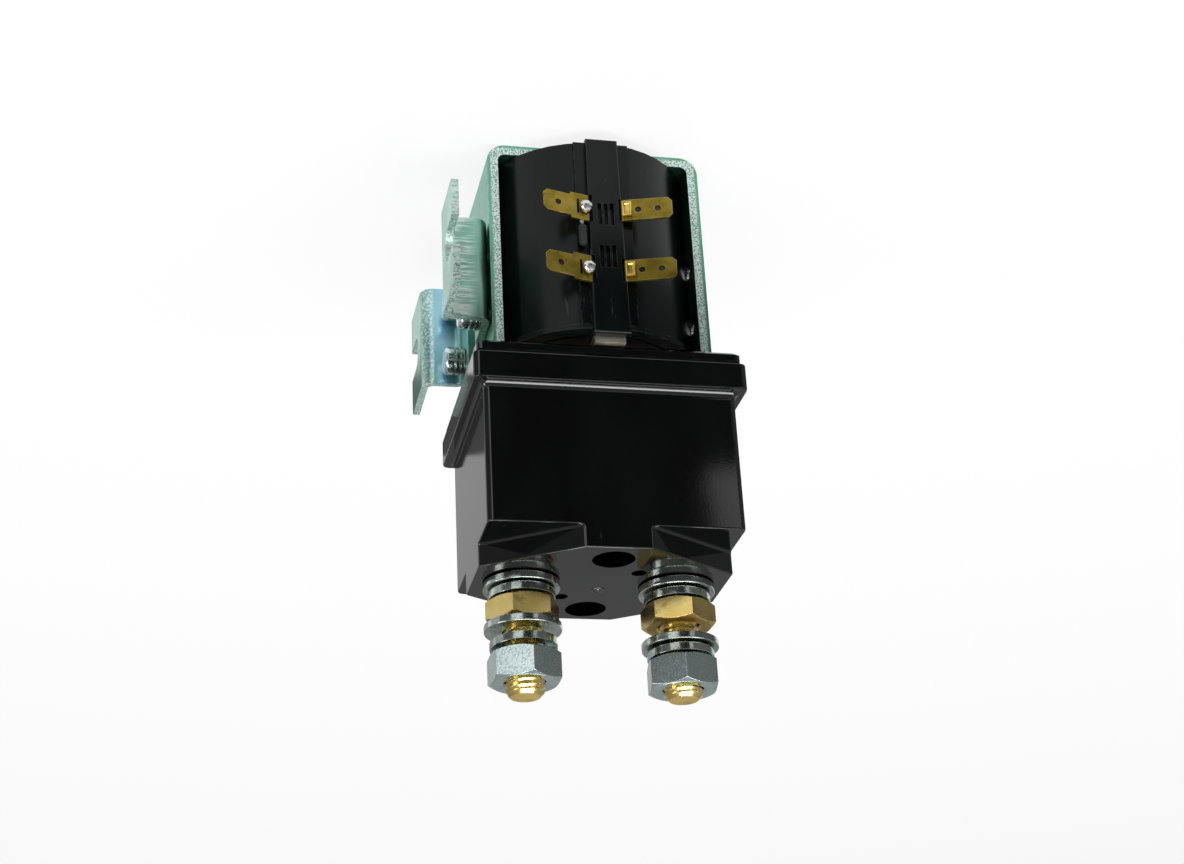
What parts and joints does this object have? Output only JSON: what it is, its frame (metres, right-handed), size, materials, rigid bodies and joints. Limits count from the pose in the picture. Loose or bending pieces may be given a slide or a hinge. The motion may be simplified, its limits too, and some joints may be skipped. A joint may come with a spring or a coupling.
{
  "type": "contactor",
  "caption": "Direct current power contactor with a plunger coil in a folded steel yoke, a moulded contact housing, threaded brass studs and slotted mounting brackets.",
  "frame": {"origin": "centre of the yoke's closed end, on its outer face", "axes": "+Z along the plunger's axis from the yoke's closed end towards the studs, -Y towards the coil terminals, +X towards the brackets"},
  "size_m": [0.0785, 0.078, 0.1505],
  "materials": {
    "black_plastic": "moulded, glossy black",
    "natural_plastic": "moulded nylon, natural",
    "black_rubber": "soft, matt",
    "zinc_plate": "zinc plated, faint blue-green tint",
    "bright_zinc": "bright zinc plated",
    "yellow_brass": "machined",
    "terminal_brass": "rolled strip, slightly dull",
    "solder": "bright solder",
    "copper": "bare copper",
    "silver": "contact silver",
    "steel": "plain steel"
  },
  "bodies": {
    "frame": {"base_moulding": "black_plastic", "bobbin": "natural_plastic", "bracket_lock_washer_1": "bright_zinc", "bracket_lock_washer_2": "bright_zinc", "bracket_lock_washer_3": "bright_zinc", "bracket_lock_washer_4": "bright_zinc", "bracket_screw_1": "bright_zinc", "bracket_screw_2": "bright_zinc", "bracket_screw_3": "bright_zinc", "bracket_screw_4": "bright_zinc", "bracket_washer_1": "bright_zinc", "bracket_washer_2": "bright_zinc", "bracket_washer_3": "bright_zinc", "bracket_washer_4": "bright_zinc", "coil_jacket": "black_plastic", "coil_terminal_1": "terminal_brass", "coil_terminal_2": "terminal_brass", "coil_terminal_3": "terminal_brass", "coil_terminal_4": "terminal_brass", "end_stop": "black_rubber", "fixed_pole": "steel", "front_bracket": "zinc_plate", "front_housing_screw": "steel", "housing": "black_plastic", "lead_sleeve": "black_rubber", "left_brass_nut": "yellow_brass", "left_fixed_tip": "silver", "left_lower_lock_washer": "bright_zinc", "left_lower_washer": "bright_zinc", "left_steel_nut": "bright_zinc", "left_stud": "yellow_brass", "left_upper_lock_washer": "bright_zinc", "left_upper_washer": "bright_zinc", "pole_plate": "zinc_plate", "rear_bracket": "zinc_plate", "rear_housing_screw": "steel", "return_spring": "steel", "right_brass_nut": "yellow_brass", "right_fixed_tip": "silver", "right_lower_lock_washer": "bright_zinc", "right_lower_washer": "bright_zinc", "right_steel_nut": "bright_zinc", "right_stud": "yellow_brass", "right_upper_lock_washer": "bright_zinc", "right_upper_washer": "bright_zinc", "solder_joint_1": "solder", "solder_joint_2": "solder", "winding": "copper", "yoke": "zinc_plate"},
    "armature": {"plunger": "steel", "spindle": "steel", "spindle_circlip": "steel", "spring_seat": "natural_plastic", "contact_spring": "steel"},
    "bridge": {"contact_bridge": "copper", "bridge_bush": "natural_plastic", "left_moving_tip": "silver", "right_moving_tip": "silver"}
  },
  "joints": [
    {"name": "armature_slide", "type": "slide", "parent": "frame", "child": "armature", "axis": [0, 0, 1], "range_m": [0, 0.005], "stiffness_N_per_m": 400, "springref_m": -0.01, "deforming": ["return_spring"]},
    {"name": "bridge_slide", "type": "slide", "parent": "armature", "child": "bridge", "axis": [0, 0, 1], "range_m": [-0.0011, 0], "deforming": ["contact_spring"]}
  ],
  "couplings": [
    {"joint": "bridge_slide", "follows": "armature_slide", "ratio": -0.21}
  ]
}
